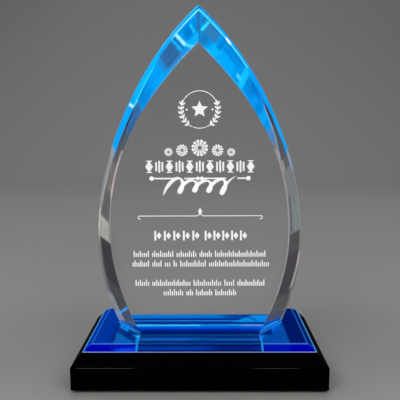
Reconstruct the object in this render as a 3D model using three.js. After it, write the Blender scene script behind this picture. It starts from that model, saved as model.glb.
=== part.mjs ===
// Crystal award: a clear acrylic flame slab, bevelled at its edge, standing on a
// transparent blue plate with a mirror film under it, on a bevelled black acrylic base.
// Millimetres, +Z up, the award's front faces -Y, the origin is on the table under its middle.

import * as THREE from "three";

// Black base: an upright block with its top edge bevelled all round.
const BASE_WIDTH = 139.7;
const BASE_DEPTH = 76.2;
const BASE_WALL_HEIGHT = 12.7;
const BASE_BEVEL_HEIGHT = 6.35;
const BASE_BEVEL_RUN = 5.9;

// Bumper feet, pressed on under the base's corners.
const FOOT_HEIGHT = 1.5;
const FOOT_RADIUS = 5;
const FOOT_SOLE_RADIUS = 4.4;
const FOOT_INSET = 12;
const FOOT_SIDES = 32;

// Layers between the base and the flame, from the bottom up.
const TAPE_THICKNESS = 0.2;
const TAPE_INSET = 2;
const MIRROR_THICKNESS = 0.3;
const PLATE_THICKNESS = 3;
const PLATE_BEVEL_RUN = 4.4;
const CEMENT_THICKNESS = 0.1;

// Flame slab, one inch thick: a wide bevel from the front face back to the girdle, where
// the slab is widest, and a narrow one from the girdle to the back face.
const FLAME_THICKNESS = 25.4;
const FLAME_FRONT_Y = -16.4;
const FRONT_BEVEL_DEPTH = 20.3;
const GIRDLE_LAND = 0.8;
const BACK_BEVEL_RUN = 3.6;
const CURVE_STEPS = 26;

// Each flame outline: the tip's height over the foot, half the angle at the tip, the
// greatest half width and its height, the foot's half width and its flare from upright,
// and how strongly the two curves of a side pull at their ends.
const WIDEST_HEIGHT = 58;
const GIRDLE_OUTLINE = {
  tipHeight: 186.4,
  tipAngle: 48.5,
  tipPull: 54,
  halfWidth: 60.7,
  upperPull: 33,
  lowerPull: 23.8,
  footHalfWidth: 49.3,
  footAngle: 23.5,
  footPull: 18.5,
};
const FRONT_OUTLINE = {
  tipHeight: 163.2,
  tipAngle: 46.2,
  tipPull: 54.8,
  halfWidth: 50,
  upperPull: 36.5,
  lowerPull: 20.5,
  footHalfWidth: 33.7,
  footAngle: 28.6,
  footPull: 16,
};

// Materials, one to a kind of piece.
const CLEAR_ACRYLIC = { color: 0xe6f2f7, roughness: 0.03, metalness: 0, opacity: 0.35 };
const BLUE_ACRYLIC = { color: 0x0b3fc4, roughness: 0.05, metalness: 0, opacity: 0.8 };
const SILVER_FILM = { color: 0xaab0c6, roughness: 0.08, metalness: 1 };
const BLACK_ACRYLIC = { color: 0x050506, roughness: 0.08, metalness: 0 };
const BLACK_TAPE = { color: 0x17171a, roughness: 0.85, metalness: 0 };
const BLACK_RUBBER = { color: 0x141414, roughness: 0.9, metalness: 0 };

const award = new THREE.Group();
award.name = "crystal_award";

// Adds one piece to a group, with a material of its own.
function addPiece(name, geometry, look) {
  const material = new THREE.MeshStandardMaterial({ ...look, transparent: "opacity" in look });
  const mesh = new THREE.Mesh(geometry, material);
  mesh.name = name;
  award.add(mesh);
  return mesh;
}

// A closed solid through rings of equally many points. The rings are convex and flat, run
// anticlockwise as seen from beyond the last one, and the first and last are filled.
function loft(rings) {
  const count = rings[0].length;
  const vertices = rings.flat().flatMap((point) => [point.x, point.y, point.z]);
  const faces = [];
  for (let ring = 0; ring + 1 < rings.length; ring++) {
    for (let i = 0; i < count; i++) {
      const here = ring * count + i;
      const next = ring * count + ((i + 1) % count);
      faces.push(here, next, next + count, here, next + count, here + count);
    }
  }
  const top = (rings.length - 1) * count;
  for (let i = 1; i + 1 < count; i++) {
    faces.push(0, i + 1, i, top, top + i, top + i + 1);
  }
  const geometry = new THREE.BufferGeometry();
  geometry.setAttribute("position", new THREE.Float32BufferAttribute(vertices, 3));
  geometry.setIndex(faces);
  geometry.computeVertexNormals();
  return geometry;
}

// A level rectangle about the Z axis.
function rectangle(width, depth, z) {
  const x = width / 2;
  const y = depth / 2;
  return [
    new THREE.Vector3(-x, -y, z),
    new THREE.Vector3(x, -y, z),
    new THREE.Vector3(x, y, z),
    new THREE.Vector3(-x, y, z),
  ];
}

// The right-hand side of a flame outline from the foot up to the tip, as plane points.
function flameSide(outline) {
  const tipAngle = THREE.MathUtils.degToRad(outline.tipAngle);
  const footAngle = THREE.MathUtils.degToRad(outline.footAngle);
  const foot = new THREE.Vector2(outline.footHalfWidth, 0);
  const widest = new THREE.Vector2(outline.halfWidth, WIDEST_HEIGHT);
  const tip = new THREE.Vector2(0, outline.tipHeight);
  const lower = new THREE.CubicBezierCurve(
    foot,
    new THREE.Vector2(
      foot.x + outline.footPull * Math.sin(footAngle),
      outline.footPull * Math.cos(footAngle),
    ),
    new THREE.Vector2(widest.x, widest.y - outline.lowerPull),
    widest,
  );
  const upper = new THREE.CubicBezierCurve(
    widest,
    new THREE.Vector2(widest.x, widest.y + outline.upperPull),
    new THREE.Vector2(
      outline.tipPull * Math.sin(tipAngle),
      tip.y - outline.tipPull * Math.cos(tipAngle),
    ),
    tip,
  );
  return [...lower.getPoints(CURVE_STEPS), ...upper.getPoints(CURVE_STEPS).slice(1)];
}

// A whole flame outline, upright at depth y, running anticlockwise as seen from behind.
function flameRing(side, y) {
  const left = side.map((point) => new THREE.Vector3(-point.x, y, point.y));
  const right = side.map((point) => new THREE.Vector3(point.x, y, point.y));
  return [...left, ...right.slice(0, -1).reverse()];
}

// A side drawn in by a run, square to the curve, with its tip kept on the middle line and
// its foot kept level.
function drawnIn(side, run) {
  return side.map((point, i) => {
    const before = side[Math.max(i - 1, 0)];
    const after = side[Math.min(i + 1, side.length - 1)];
    const along = after.clone().sub(before).normalize();
    if (i === 0) return new THREE.Vector2(point.x - run / along.y, 0);
    if (i === side.length - 1) return new THREE.Vector2(0, point.y - run / Math.abs(along.x));
    return new THREE.Vector2(point.x - run * along.y, point.y + run * along.x);
  });
}

// Heights of the faces the pieces meet at, from the table up.
const baseBottom = FOOT_HEIGHT;
const baseShoulder = baseBottom + BASE_WALL_HEIGHT;
const baseTop = baseShoulder + BASE_BEVEL_HEIGHT;
const mirrorBottom = baseTop + TAPE_THICKNESS;
const plateBottom = mirrorBottom + MIRROR_THICKNESS;
const plateTop = plateBottom + PLATE_THICKNESS;
const flameBottom = plateTop + CEMENT_THICKNESS;

// The plate and its mirror end where the base's bevel does.
const plateWidth = BASE_WIDTH - 2 * BASE_BEVEL_RUN;
const plateDepth = BASE_DEPTH - 2 * BASE_BEVEL_RUN;

function addBase() {
  const rings = [
    rectangle(BASE_WIDTH, BASE_DEPTH, baseBottom),
    rectangle(BASE_WIDTH, BASE_DEPTH, baseShoulder),
    rectangle(plateWidth, plateDepth, baseTop),
  ];
  addPiece("black_base", loft(rings), BLACK_ACRYLIC);
}

function addFeet() {
  const x = BASE_WIDTH / 2 - FOOT_INSET;
  const y = BASE_DEPTH / 2 - FOOT_INSET;
  const corners = {
    foot_front_left: [-x, -y],
    foot_front_right: [x, -y],
    foot_back_left: [-x, y],
    foot_back_right: [x, y],
  };
  for (const [name, [footX, footY]] of Object.entries(corners)) {
    const shape = new THREE.CylinderGeometry(
      FOOT_RADIUS,
      FOOT_SOLE_RADIUS,
      FOOT_HEIGHT,
      FOOT_SIDES,
    );
    const foot = addPiece(name, shape, BLACK_RUBBER);
    foot.rotation.x = Math.PI / 2;
    foot.position.set(footX, footY, FOOT_HEIGHT / 2);
  }
}

function addPlate() {
  const tapeWidth = plateWidth - 2 * TAPE_INSET;
  const tapeDepth = plateDepth - 2 * TAPE_INSET;
  const tape = [rectangle(tapeWidth, tapeDepth, baseTop), rectangle(tapeWidth, tapeDepth, mirrorBottom)];
  addPiece("mounting_tape", loft(tape), BLACK_TAPE);

  const mirror = [
    rectangle(plateWidth, plateDepth, mirrorBottom),
    rectangle(plateWidth, plateDepth, plateBottom),
  ];
  addPiece("mirror_backing", loft(mirror), SILVER_FILM);

  const plate = [
    rectangle(plateWidth, plateDepth, plateBottom),
    rectangle(plateWidth - 2 * PLATE_BEVEL_RUN, plateDepth - 2 * PLATE_BEVEL_RUN, plateTop),
  ];
  addPiece("blue_plate", loft(plate), BLUE_ACRYLIC);
}

function addFlame() {
  const girdleY = FLAME_FRONT_Y + FRONT_BEVEL_DEPTH;
  const backY = FLAME_FRONT_Y + FLAME_THICKNESS;
  const front = flameSide(FRONT_OUTLINE);
  const girdle = flameSide(GIRDLE_OUTLINE);
  const back = drawnIn(girdle, BACK_BEVEL_RUN);
  const rings = [
    flameRing(front, FLAME_FRONT_Y),
    flameRing(girdle, girdleY),
    flameRing(girdle, girdleY + GIRDLE_LAND),
    flameRing(back, backY),
  ];
  const flame = addPiece("flame_body", loft(rings), CLEAR_ACRYLIC);
  flame.position.z = flameBottom;

  // The cement fills the whole foot of the flame, a thin sheet of the foot's outline.
  const footprint = (z) => [
    new THREE.Vector3(-front[0].x, FLAME_FRONT_Y, z),
    new THREE.Vector3(front[0].x, FLAME_FRONT_Y, z),
    new THREE.Vector3(girdle[0].x, girdleY, z),
    new THREE.Vector3(girdle[0].x, girdleY + GIRDLE_LAND, z),
    new THREE.Vector3(back[0].x, backY, z),
    new THREE.Vector3(-back[0].x, backY, z),
    new THREE.Vector3(-girdle[0].x, girdleY + GIRDLE_LAND, z),
    new THREE.Vector3(-girdle[0].x, girdleY, z),
  ];
  addPiece("flame_cement", loft([footprint(plateTop), footprint(flameBottom)]), CLEAR_ACRYLIC);
}

addBase();
addFeet();
addPlate();
addFlame();

export default award;
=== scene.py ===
import logging
import math
from dataclasses import dataclass, field
from enum import Enum

import bpy
import numpy as np
from mathutils import Matrix, Vector


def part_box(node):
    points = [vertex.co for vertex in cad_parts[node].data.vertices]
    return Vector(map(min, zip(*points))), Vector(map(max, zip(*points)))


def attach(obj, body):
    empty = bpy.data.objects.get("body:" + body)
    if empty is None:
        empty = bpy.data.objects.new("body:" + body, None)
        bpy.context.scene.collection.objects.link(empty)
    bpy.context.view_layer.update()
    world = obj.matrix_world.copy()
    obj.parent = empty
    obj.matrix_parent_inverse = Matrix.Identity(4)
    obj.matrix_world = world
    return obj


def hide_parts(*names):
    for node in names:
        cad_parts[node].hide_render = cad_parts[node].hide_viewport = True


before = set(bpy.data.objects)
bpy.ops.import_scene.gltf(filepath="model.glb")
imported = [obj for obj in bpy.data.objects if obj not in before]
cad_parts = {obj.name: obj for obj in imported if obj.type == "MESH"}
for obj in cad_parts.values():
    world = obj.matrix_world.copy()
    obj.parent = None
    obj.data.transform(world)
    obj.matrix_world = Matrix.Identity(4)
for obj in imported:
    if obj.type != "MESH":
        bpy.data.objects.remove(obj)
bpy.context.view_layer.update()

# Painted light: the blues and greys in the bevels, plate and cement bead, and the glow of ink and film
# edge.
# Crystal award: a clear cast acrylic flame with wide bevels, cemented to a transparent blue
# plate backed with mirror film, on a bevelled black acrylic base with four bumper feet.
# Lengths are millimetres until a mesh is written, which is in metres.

MM = 0.001
BODY = "root"
SEAM = 0.01  # between two faces that touch, so that neither shows through the other
LOG = logging.getLogger("crystal_award")


# ---------------------------------------------------------------- helpers


def linear(hex_colour: str) -> tuple[float, float, float]:
    """Linear light of an sRGB hex colour such as "1a2b3c".

    Args:
        hex_colour: six hex digits, red first.

    Returns:
        Red, green and blue in linear light.
    """
    parts = np.array([int(hex_colour[i : i + 2], 16) / 255 for i in (0, 2, 4)])
    light = np.where(parts <= 0.04045, parts / 12.92, ((parts + 0.055) / 1.055) ** 2.4)
    return tuple(float(value) for value in light)


def node(
    tree: bpy.types.NodeTree,
    kind: str,
    values: dict | None = None,
    links: dict | None = None,
    **settings: object,
) -> bpy.types.Node:
    """Adds one shader node.

    Args:
        tree: the material's node tree.
        kind: the node's class, without its "ShaderNode" prefix.
        values: input name or number to constant value.
        links: input name or number to the socket that feeds it.
        settings: the node's own properties.

    Returns:
        The new node.
    """
    made = tree.nodes.new("ShaderNode" + kind)
    for name, value in settings.items():
        setattr(made, name, value)
    for name, value in (values or {}).items():
        made.inputs[name].default_value = value
    for name, socket in (links or {}).items():
        tree.links.new(socket, made.inputs[name])
    return made


def smooth_step(value: np.ndarray, middle: float, blur: float) -> np.ndarray:
    """A soft step: 0 below the middle, 1 above it, turning over a blur to each side.

    Args:
        value: the numbers to step.
        middle: where the step is half way.
        blur: half the width of the turn.

    Returns:
        Numbers from 0 to 1, cubic in between.
    """
    t = np.clip((value - middle) / (2 * blur) + 0.5, 0, 1)
    return t * t * (3 - 2 * t)


def cubic_curve(points: list[tuple[float, float]], steps: int) -> np.ndarray:
    """A cubic Bezier curve: the four points weighted by the terms of (1 - t + t) cubed.

    Args:
        points: start, two handles and end.
        steps: how many pieces it is cut into.

    Returns:
        An array of steps + 1 plane points.
    """
    t = np.linspace(0, 1, steps + 1)[:, None]
    a, b, c, d = np.asarray(points, float)
    return (1 - t) ** 3 * a + 3 * (1 - t) ** 2 * t * b + 3 * (1 - t) * t * t * c + t**3 * d


def rounded_corners(profile: np.ndarray, radius: float, steps: int) -> np.ndarray:
    """A profile with its inner corners eased: each corner B becomes the parabola
    (1-t)^2 A + 2 (1-t) t B + t^2 C between the points A and C one radius away on each side.

    Args:
        profile: rows of numbers, one row to a corner, the ends left sharp.
        radius: distance from the corner at which the easing starts.
        steps: pieces to a corner.

    Returns:
        The eased rows.
    """
    t = np.linspace(0, 1, steps + 1)[:, None]
    rows = [profile[:1]]
    for before, corner, after in zip(profile[:-2], profile[1:-1], profile[2:]):
        reach = [min(radius, np.linalg.norm(end - corner) / 2.2) for end in (before, after)]
        a = corner + (before - corner) / np.linalg.norm(before - corner) * reach[0]
        c = corner + (after - corner) / np.linalg.norm(after - corner) * reach[1]
        rows.append((1 - t) ** 2 * a + 2 * (1 - t) * t * corner + t**2 * c)
    return np.vstack([*rows, profile[-1:]])


def rounded_rectangle(
    half: np.ndarray, radius: float, steps: int, stations: list[list[float]] | None = None
) -> np.ndarray:
    """A level rectangle with round corners, anticlockwise from above, as plane points: at
    each corner, centre + radius (cos a, sin a) over a quarter turn.

    Args:
        half: half width and half depth.
        radius: corner radius.
        steps: pieces to a corner.
        stations: for the front, right, back and left sides, extra points by x or y
            as a share of the half size.

    Returns:
        The points in order, starting after the front left corner.
    """
    turn = np.linspace(0, math.pi / 2, steps + 1)
    rows = []
    for side in range(4):
        for share in sorted((stations or [[]] * 4)[side], reverse=side in (2, 3)):
            along, across = (0, 1) if side % 2 == 0 else (1, 0)
            point = np.zeros(2)
            point[along] = share * half[along]
            point[across] = half[across] * (-1 if side in (0, 3) else 1)
            rows.append(point[None])
        sign = np.array([(1, -1), (1, 1), (-1, 1), (-1, -1)][side])
        start = (side - 1) * math.pi / 2
        arc = np.c_[np.cos(start + turn), np.sin(start + turn)]
        rows.append(sign * (half - radius) + radius * arc)
    return np.vstack(rows)


def ring_faces(rings: int, count: int, closed: bool = True) -> np.ndarray:
    """Quads between rings of equally many points, laid ring after ring.

    Args:
        rings: how many rings.
        count: points in each.
        closed: whether the last point joins the first.

    Returns:
        Point numbers, four to a face, grouped by ring.
    """
    ring = np.arange(rings - 1)[:, None] * count
    here = np.arange(count if closed else count - 1)
    after = (here + 1) % count
    corners = [ring + here, ring + after, ring + count + after, ring + count + here]
    return np.stack(corners, axis=-1).reshape(-1, 4)


def write_mesh(
    name: str,
    points: np.ndarray,
    faces: list,
    materials: list[bpy.types.Material],
    slots: np.ndarray | int = 0,
    smooth: np.ndarray | bool = False,
) -> bpy.types.Object:
    """Makes an object of a computed surface, with its place in its mesh.

    Args:
        name: the piece's name.
        points: n by 3, in millimetres, in the row frame.
        faces: point numbers of each face, outward by the right hand.
        materials: the piece's materials.
        slots: which material each face has.
        smooth: which faces are shaded round.

    Returns:
        The linked object.
    """
    mesh = bpy.data.meshes.new(name)
    mesh.from_pydata((np.asarray(points) * MM).tolist(), [], [list(map(int, f)) for f in faces])
    for material in materials:
        mesh.materials.append(material)
    count = len(mesh.polygons)
    mesh.polygons.foreach_set("material_index", np.broadcast_to(slots, count).astype(np.int32))
    mesh.polygons.foreach_set("use_smooth", np.broadcast_to(smooth, count).astype(bool))
    mesh.update()
    piece = bpy.data.objects.new(name, mesh)
    bpy.context.scene.collection.objects.link(piece)
    return piece


def dress(piece: bpy.types.Object, slot: str = "", *nodes: str) -> bpy.types.Object:
    """Rides a piece on the body, logs its slot and hides the CAD nodes it stands for.

    Args:
        piece: the piece.
        slot: its slot in the record, or nothing where the record has none for it.
        nodes: the CAD nodes it stands for.

    Returns:
        The same piece.
    """
    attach(piece, BODY)
    if nodes:
        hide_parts(*nodes)
    LOG.info("%s: %d faces, slot %s", piece.name, len(piece.data.polygons), slot or "none")
    return piece


def node_box(name: str) -> np.ndarray:
    """A CAD node's lowest and highest corner, in millimetres."""
    return np.array(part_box(name)) / MM


# ---------------------------------------------------------------- finishes


@dataclass(frozen=True)
class Finish:
    """A material, built from a subclass's shader."""

    name: str

    def shader(self, tree: bpy.types.NodeTree) -> bpy.types.NodeSocket:
        """The surface socket; each finish gives its own."""
        raise NotImplementedError

    def build(self) -> bpy.types.Material:
        """Makes the material.

        Returns:
            The finished material.
        """
        material = bpy.data.materials.new(self.name)
        material.use_nodes = True
        material.node_tree.nodes.clear()
        surface = self.shader(material.node_tree)
        node(material.node_tree, "OutputMaterial", links={"Surface": surface})
        return material

    def mottle(
        self, tree: bpy.types.NodeTree, size: float, low: float, high: float, detail: float = 4
    ) -> bpy.types.NodeSocket:
        """Cloudy variation over the piece.

        Args:
            tree: the node tree.
            size: size of one cloud in millimetres.
            low: value in the troughs.
            high: value on the crests.
            detail: octaves.

        Returns:
            A socket that runs from low to high.
        """
        where = node(tree, "TexCoord").outputs["Object"]
        noise = node(
            tree, "TexNoise", {"Scale": 1 / (size * MM), "Detail": detail}, {"Vector": where}
        )
        spread = {"From Min": 0.3, "From Max": 0.7, "To Min": low, "To Max": high}
        return node(tree, "MapRange", spread, {"Value": noise.outputs["Fac"]}).outputs["Result"]


@dataclass(frozen=True)
class CastAcrylic(Finish):
    """Cast acrylic sheet, cut and diamond-polished: clear right through, with mirror-smooth
    faces that show only the faintest haze where they were buffed."""

    tint: str = "ffffff"
    ior: float = 1.49
    haze: float = 0.012
    buffing: float = 22.0

    def shader(self, tree: bpy.types.NodeTree) -> bpy.types.NodeSocket:
        """Refracting plastic whose polish varies a little from place to place.

        Args:
            tree: the material's node tree.

        Returns:
            The surface socket.
        """
        roughness = self.mottle(tree, self.buffing, 0.0, self.haze)
        values = {"Base Color": (*linear(self.tint), 1), "IOR": self.ior, "Transmission Weight": 1.0}
        return node(tree, "BsdfPrincipled", values, {"Roughness": roughness}).outputs[0]


@dataclass(frozen=True)
class PaintedLightAcrylic(Finish):
    """Polished acrylic with painted light: azure towards the tip and smoky greys below, standing
    for the plate's blue piped up through the block and out of the bevels. The mesh carries
    that painted light in its attributes: tint, glow, and clarity for how clear the plastic
    stays. Ripple is how many ripples the light map holds each way."""

    ior: float = 1.49
    specular: float = 0.5
    ripple: tuple[float, float] = (7.0, 25.0)
    ripple_depth: float = 0.16

    def shader(self, tree: bpy.types.NodeTree) -> bpy.types.NodeSocket:
        """Refracting plastic with painted light laid in by attribute, and a fine painted shimmer.

        Args:
            tree: the material's node tree.

        Returns:
            The surface socket.
        """
        where = node(tree, "UVMap", uv_map="light_uv").outputs["UV"]
        # the painted glow is broken into long ripples a few millimetres apart
        stretch = node(tree, "Mapping", {"Scale": (*self.ripple, 1.0)}, {"Vector": where})
        noise = {"Scale": 1.0, "Detail": 3.0}
        ripple = node(tree, "TexNoise", noise, {"Vector": stretch.outputs[0]})
        spread = {
            "From Min": 0.3,
            "From Max": 0.7,
            "To Min": 1 - self.ripple_depth,
            "To Max": 1 + self.ripple_depth,
        }
        gain = node(tree, "MapRange", spread, {"Value": ripple.outputs["Fac"]}).outputs["Result"]
        glow = node(tree, "Attribute", attribute_name="glow").outputs["Color"]
        rippled = node(tree, "VectorMath", None, {0: glow, "Scale": gain}, operation="SCALE")
        tint = node(tree, "Attribute", attribute_name="tint").outputs["Color"]
        clarity = node(tree, "Attribute", attribute_name="clarity").outputs["Fac"]
        values = {
            "IOR": self.ior,
            "Emission Strength": 1.0,
            "Roughness": 0.012,
            "Specular IOR Level": self.specular,
        }
        links = {
            "Base Color": tint,
            "Transmission Weight": clarity,
            "Emission Color": rippled.outputs["Vector"],
        }
        return node(tree, "BsdfPrincipled", values, links).outputs[0]


@dataclass(frozen=True)
class CementedFace(Finish):
    """Two acrylic faces wetted together by clear solvent cement: the seam itself can't be
    seen, only the colour of the plastic that the light goes on into."""

    tint: tuple[float, float, float] = (1.0, 1.0, 1.0)

    def shader(self, tree: bpy.types.NodeTree) -> bpy.types.NodeSocket:
        """Lets light straight through, tinted."""
        return node(tree, "BsdfTransparent", {"Color": (*self.tint, 1)}).outputs[0]


@dataclass(frozen=True)
class PaintedGlowJoint(CementedFace):
    """The wetted joint where the plate meets the block: clear, with painted light, which the
    mesh carries in its attributes, added as emission."""

    def shader(self, tree: bpy.types.NodeTree) -> bpy.types.NodeSocket:
        """Straight through, tinted and dimmed by clarity, plus the painted glow.

        Args:
            tree: the material's node tree.

        Returns:
            The surface socket.
        """
        clarity = node(tree, "Attribute", attribute_name="clarity").outputs["Fac"]
        dim = node(tree, "VectorMath", {0: self.tint}, {"Scale": clarity}, operation="SCALE")
        through = node(tree, "BsdfTransparent", None, {"Color": dim.outputs["Vector"]})
        glow = node(tree, "Attribute", attribute_name="glow").outputs["Color"]
        light = node(tree, "Emission", {"Strength": 1.0}, {"Color": glow})
        return node(tree, "AddShader", None, {0: through.outputs[0], 1: light.outputs[0]}).outputs[0]


@dataclass(frozen=True)
class PaintedGlowCement(Finish):
    """Clear solvent cement, set hard. Its blue body colour and the azure line along the bead are
    painted light, the line as emission, bright behind the block and dim before it. The line is
    dimmest at y = front and bright from y = bright_from, in metres."""

    colour: str = "1796f0"
    strength: float = 0.85
    front: float = -0.0165
    bright_from: float = -0.0105

    def shader(self, tree: bpy.types.NodeTree) -> bpy.types.NodeSocket:
        """Painted azure glow, uneven along the bead, under a glossy skin.

        Args:
            tree: the material's node tree.

        Returns:
            The surface socket.
        """
        where = node(tree, "TexCoord").outputs["Object"]
        y = node(tree, "SeparateXYZ", None, {0: where}).outputs["Y"]
        spread = {"From Min": self.front, "From Max": self.bright_from, "To Min": 0.06}
        rise = node(tree, "MapRange", spread, {"Value": y}).outputs["Result"]
        mottle = self.mottle(tree, 9.0, 0.45, 1.25)
        level = node(tree, "Math", None, {0: rise, 1: mottle}, operation="MULTIPLY").outputs[0]
        glow = node(
            tree, "VectorMath", {0: linear(self.colour)}, {"Scale": level}, operation="SCALE"
        )
        values = {"Emission Strength": self.strength, "Roughness": 0.08, "IOR": 1.48}
        values["Base Color"] = (*linear("0a3f78"), 1)
        links = {"Emission Color": glow.outputs["Vector"]}
        return node(tree, "BsdfPrincipled", values, links).outputs[0]


@dataclass(frozen=True)
class MirrorFilm(Finish):
    """Vacuum-metallised polyester film: a bright mirror from above, and along its cut edge,
    where the clear polyester shows, a satin lilac-grey line with painted glow, emission in
    the film's own colour, added to it."""

    tint: tuple[float, float, float] = (0.36, 0.44, 0.86)
    roughness: float = 0.3
    metallic: float = 0.4
    painted_edge_glow: float = 0.4

    def shader(self, tree: bpy.types.NodeTree) -> bpy.types.NodeSocket:
        """Metal, a touch brighter and duller in clouds, with a painted glow in the same colour.

        Args:
            tree: the material's node tree.

        Returns:
            The surface socket.
        """
        shade = self.mottle(tree, 12.0, 0.9, 1.0)
        silver = node(tree, "VectorMath", {0: self.tint}, {"Scale": shade}, operation="SCALE")
        values = {
            "Metallic": self.metallic,
            "Roughness": self.roughness,
            "Emission Strength": self.painted_edge_glow,
        }
        links = {"Base Color": silver.outputs["Vector"], "Emission Color": silver.outputs["Vector"]}
        return node(tree, "BsdfPrincipled", values, links).outputs[0]


@dataclass(frozen=True)
class BlackAcrylic(Finish):
    """Opaque black acrylic, buffed: deep piano black, with buffing haze that only a raking
    light picks out."""

    colour: str = "010101"
    specular: float = 0.22

    def shader(self, tree: bpy.types.NodeTree) -> bpy.types.NodeSocket:
        """Glossy black plastic with uneven polish.

        Args:
            tree: the material's node tree.

        Returns:
            The surface socket.
        """
        where = node(tree, "TexCoord").outputs["Object"]
        # buffing swirls some 3 mm apart, drawn out along the block
        drawn = node(tree, "Mapping", {"Scale": (90.0, 330.0, 330.0)}, {"Vector": where})
        swirl = node(tree, "TexNoise", {"Scale": 1.0, "Detail": 5.0}, {"Vector": drawn.outputs[0]})
        spread = {"From Min": 0.35, "From Max": 0.75, "To Min": 0.04, "To Max": 0.11}
        rough = node(tree, "MapRange", spread, {"Value": swirl.outputs["Fac"]}).outputs["Result"]
        values = {
            "Base Color": (*linear(self.colour), 1),
            "IOR": 1.49,
            "Specular IOR Level": self.specular,
        }
        return node(tree, "BsdfPrincipled", values, {"Roughness": rough}).outputs[0]


@dataclass(frozen=True)
class SoftBlack(Finish):
    """Matt black elastomer: closed-cell foam tape, or the moulded rubber of a bumper foot.
    The cells or the mould's spark texture break up the light."""

    colour: str = "17171a"
    cell: float = 0.35
    depth: float = 0.04
    roughness: float = 0.85

    def shader(self, tree: bpy.types.NodeTree) -> bpy.types.NodeSocket:
        """Matt black with a cellular bump and worn, dusty patches.

        Args:
            tree: the material's node tree.

        Returns:
            The surface socket.
        """
        where = node(tree, "TexCoord").outputs["Object"]
        cells = node(tree, "TexVoronoi", {"Scale": 1 / (self.cell * MM)}, {"Vector": where})
        values = {"Strength": 0.5, "Distance": self.depth * MM}
        bump = node(tree, "Bump", values, {"Height": cells.outputs["Distance"]})
        dust = self.mottle(tree, 6.0, 0.8, 1.7)
        start = {0: linear(self.colour)}
        dusty = node(tree, "VectorMath", start, {"Scale": dust}, operation="SCALE")
        links = {"Base Color": dusty.outputs["Vector"], "Normal": bump.outputs[0]}
        return node(tree, "BsdfPrincipled", {"Roughness": self.roughness}, links).outputs[0]


@dataclass(frozen=True)
class ScreenInk(Finish):
    """Opaque white screen-printing ink, cured: chalk white and satin, with the faint
    pitting that the mesh of the screen leaves. It lies behind a clear skin. Most of its white
    is painted light, an even glow of its own, so its shading is slight."""

    colour: str = "fbfbfa"
    mesh_pitch: float = 0.25
    shaded_share: float = 0.3
    painted_own_light: float = 0.86

    def shader(self, tree: bpy.types.NodeTree) -> bpy.types.NodeSocket:
        """Satin white with screen-mesh pits, and cover that varies by a few percent, most of it painted
        glow.

        Args:
            tree: the material's node tree.

        Returns:
            The surface socket.
        """
        where = node(tree, "TexCoord").outputs["Object"]
        pits = node(tree, "TexVoronoi", {"Scale": 1 / (self.mesh_pitch * MM)}, {"Vector": where})
        values = {"Strength": 0.15, "Distance": 0.02 * MM}
        bump = node(tree, "Bump", values, {"Height": pits.outputs["Distance"]})
        cover = self.mottle(tree, 4.0, 0.95, 1.0)
        white = node(
            tree, "VectorMath", {0: linear(self.colour)}, {"Scale": cover}, operation="SCALE"
        )
        shade = node(
            tree,
            "VectorMath",
            {"Scale": self.shaded_share},
            {0: white.outputs["Vector"]},
            operation="SCALE",
        )
        links = {
            "Base Color": shade.outputs["Vector"],
            "Emission Color": white.outputs["Vector"],
            "Normal": bump.outputs[0],
        }
        values = {"Roughness": 0.5, "Emission Strength": self.painted_own_light}
        return node(tree, "BsdfPrincipled", values, links).outputs[0]


@dataclass(frozen=True)
class StudioPaper(Finish):
    """Seamless grey background paper, matt, with painted light and shade in its tone: lighter
    before the award, darkest at y 0 where the base stands, and falling off a little up the
    sweep. Each tone is a place on Y in metres and a colour."""

    painted_light_tones: tuple[tuple[float, str], ...] = (
        (-0.2, "828282"),
        (-0.045, "808080"),
        (0.0, "767676"),
        (0.11, "7f7f7f"),
        (0.29, "7b7b7b"),
        (0.68, "7d7d7d"),
        (1.35, "7d7d7d"),
        (1.6, "7c7c7c"),
    )

    def shader(self, tree: bpy.types.NodeTree) -> bpy.types.NodeSocket:
        """Matt grey whose painted light and shade change along +Y.

        Args:
            tree: the material's node tree.

        Returns:
            The surface socket.
        """
        where = node(tree, "TexCoord").outputs["Object"]
        y = node(tree, "SeparateXYZ", None, {0: where}).outputs["Y"]
        first, last = self.painted_light_tones[0][0], self.painted_light_tones[-1][0]
        share = node(tree, "MapRange", {"From Min": first, "From Max": last}, {"Value": y})
        ramp = node(tree, "ValToRGB", None, {0: share.outputs[0]})
        stops = ramp.color_ramp.elements
        for i, (place, tone) in enumerate(self.painted_light_tones):
            at = (place - first) / (last - first)
            stop = stops[(0, -1)[i > 0]] if i in (0, len(self.painted_light_tones) - 1) else stops.new(at)
            stop.color = (*linear(tone), 1)
        return node(tree, "BsdfDiffuse", None, {"Color": ramp.outputs["Color"]}).outputs[0]


# ---------------------------------------------------------------- flame block


@dataclass(frozen=True)
class FlameOutline:
    """One closed flame curve: two cubic curves to a side, foot to widest to tip. Angles are
    the curve's lean from upright in degrees, and pulls are the lengths of its handles."""

    tip_height: float
    tip_angle: float
    tip_pull: float
    half_width: float
    upper_pull: float
    lower_pull: float
    foot_half_width: float
    foot_angle: float
    foot_pull: float

    def side(self, widest: float, steps: int) -> np.ndarray:
        """The right-hand side from foot to tip.

        Args:
            widest: height of the greatest width.
            steps: pieces to each of the two curves.

        Returns:
            Points as (half width, height over the foot).
        """
        tip, foot = math.radians(self.tip_angle), math.radians(self.foot_angle)
        start = (self.foot_half_width, 0.0)
        middle = (self.half_width, widest)
        leave = (
            start[0] + self.foot_pull * math.sin(foot),
            self.foot_pull * math.cos(foot),
        )
        lower = [start, leave, (middle[0], widest - self.lower_pull), middle]
        arrive = (
            self.tip_pull * math.sin(tip),
            self.tip_height - self.tip_pull * math.cos(tip),
        )
        upper = [middle, (middle[0], widest + self.upper_pull), arrive, (0.0, self.tip_height)]
        return np.vstack([cubic_curve(lower, steps), cubic_curve(upper, steps)[1:]])


class Side(Enum):
    """Which bevels a patch of painted light lies on; its value is the sign of X, 0 for both."""

    LEFT = -1
    RIGHT = 1
    BOTH = 0


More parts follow.
